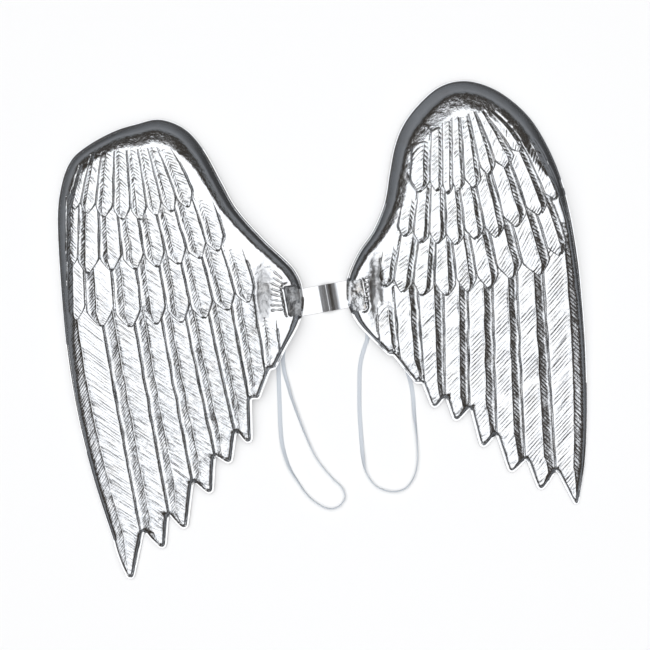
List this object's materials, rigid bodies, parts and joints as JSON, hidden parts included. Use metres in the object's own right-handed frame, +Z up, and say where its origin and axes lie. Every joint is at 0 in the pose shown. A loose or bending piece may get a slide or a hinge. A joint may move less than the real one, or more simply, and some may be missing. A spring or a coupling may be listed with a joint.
{
  "type": "angel wings",
  "caption": "Pair of thin moulded silver angel wings with raised feathers, joined by a flat strip, with elastic arm loops, lying on their open backs.",
  "frame": {"origin": "on the surface that the wings lie on, under the middle of the box round both wings", "axes": "+X from the left wing to the right wing, +Y towards the wing tops, +Z up from the surface, out of the feathered face"},
  "size_m": [0.4597, 0.433, 0.0287],
  "materials": {
    "wing_shell": "thin plastic sheet with a bright vacuum-metallised silver face, finely crinkled",
    "strip": "smooth bright metallised plastic strip",
    "elastic": "flat pale woven elastic, slightly translucent"
  },
  "bodies": {
    "root": {"wing_left": "wing_shell", "wing_right": "wing_shell", "connector_strip": "strip", "elastic_left": "elastic", "elastic_right": "elastic"}
  },
  "joints": []
}
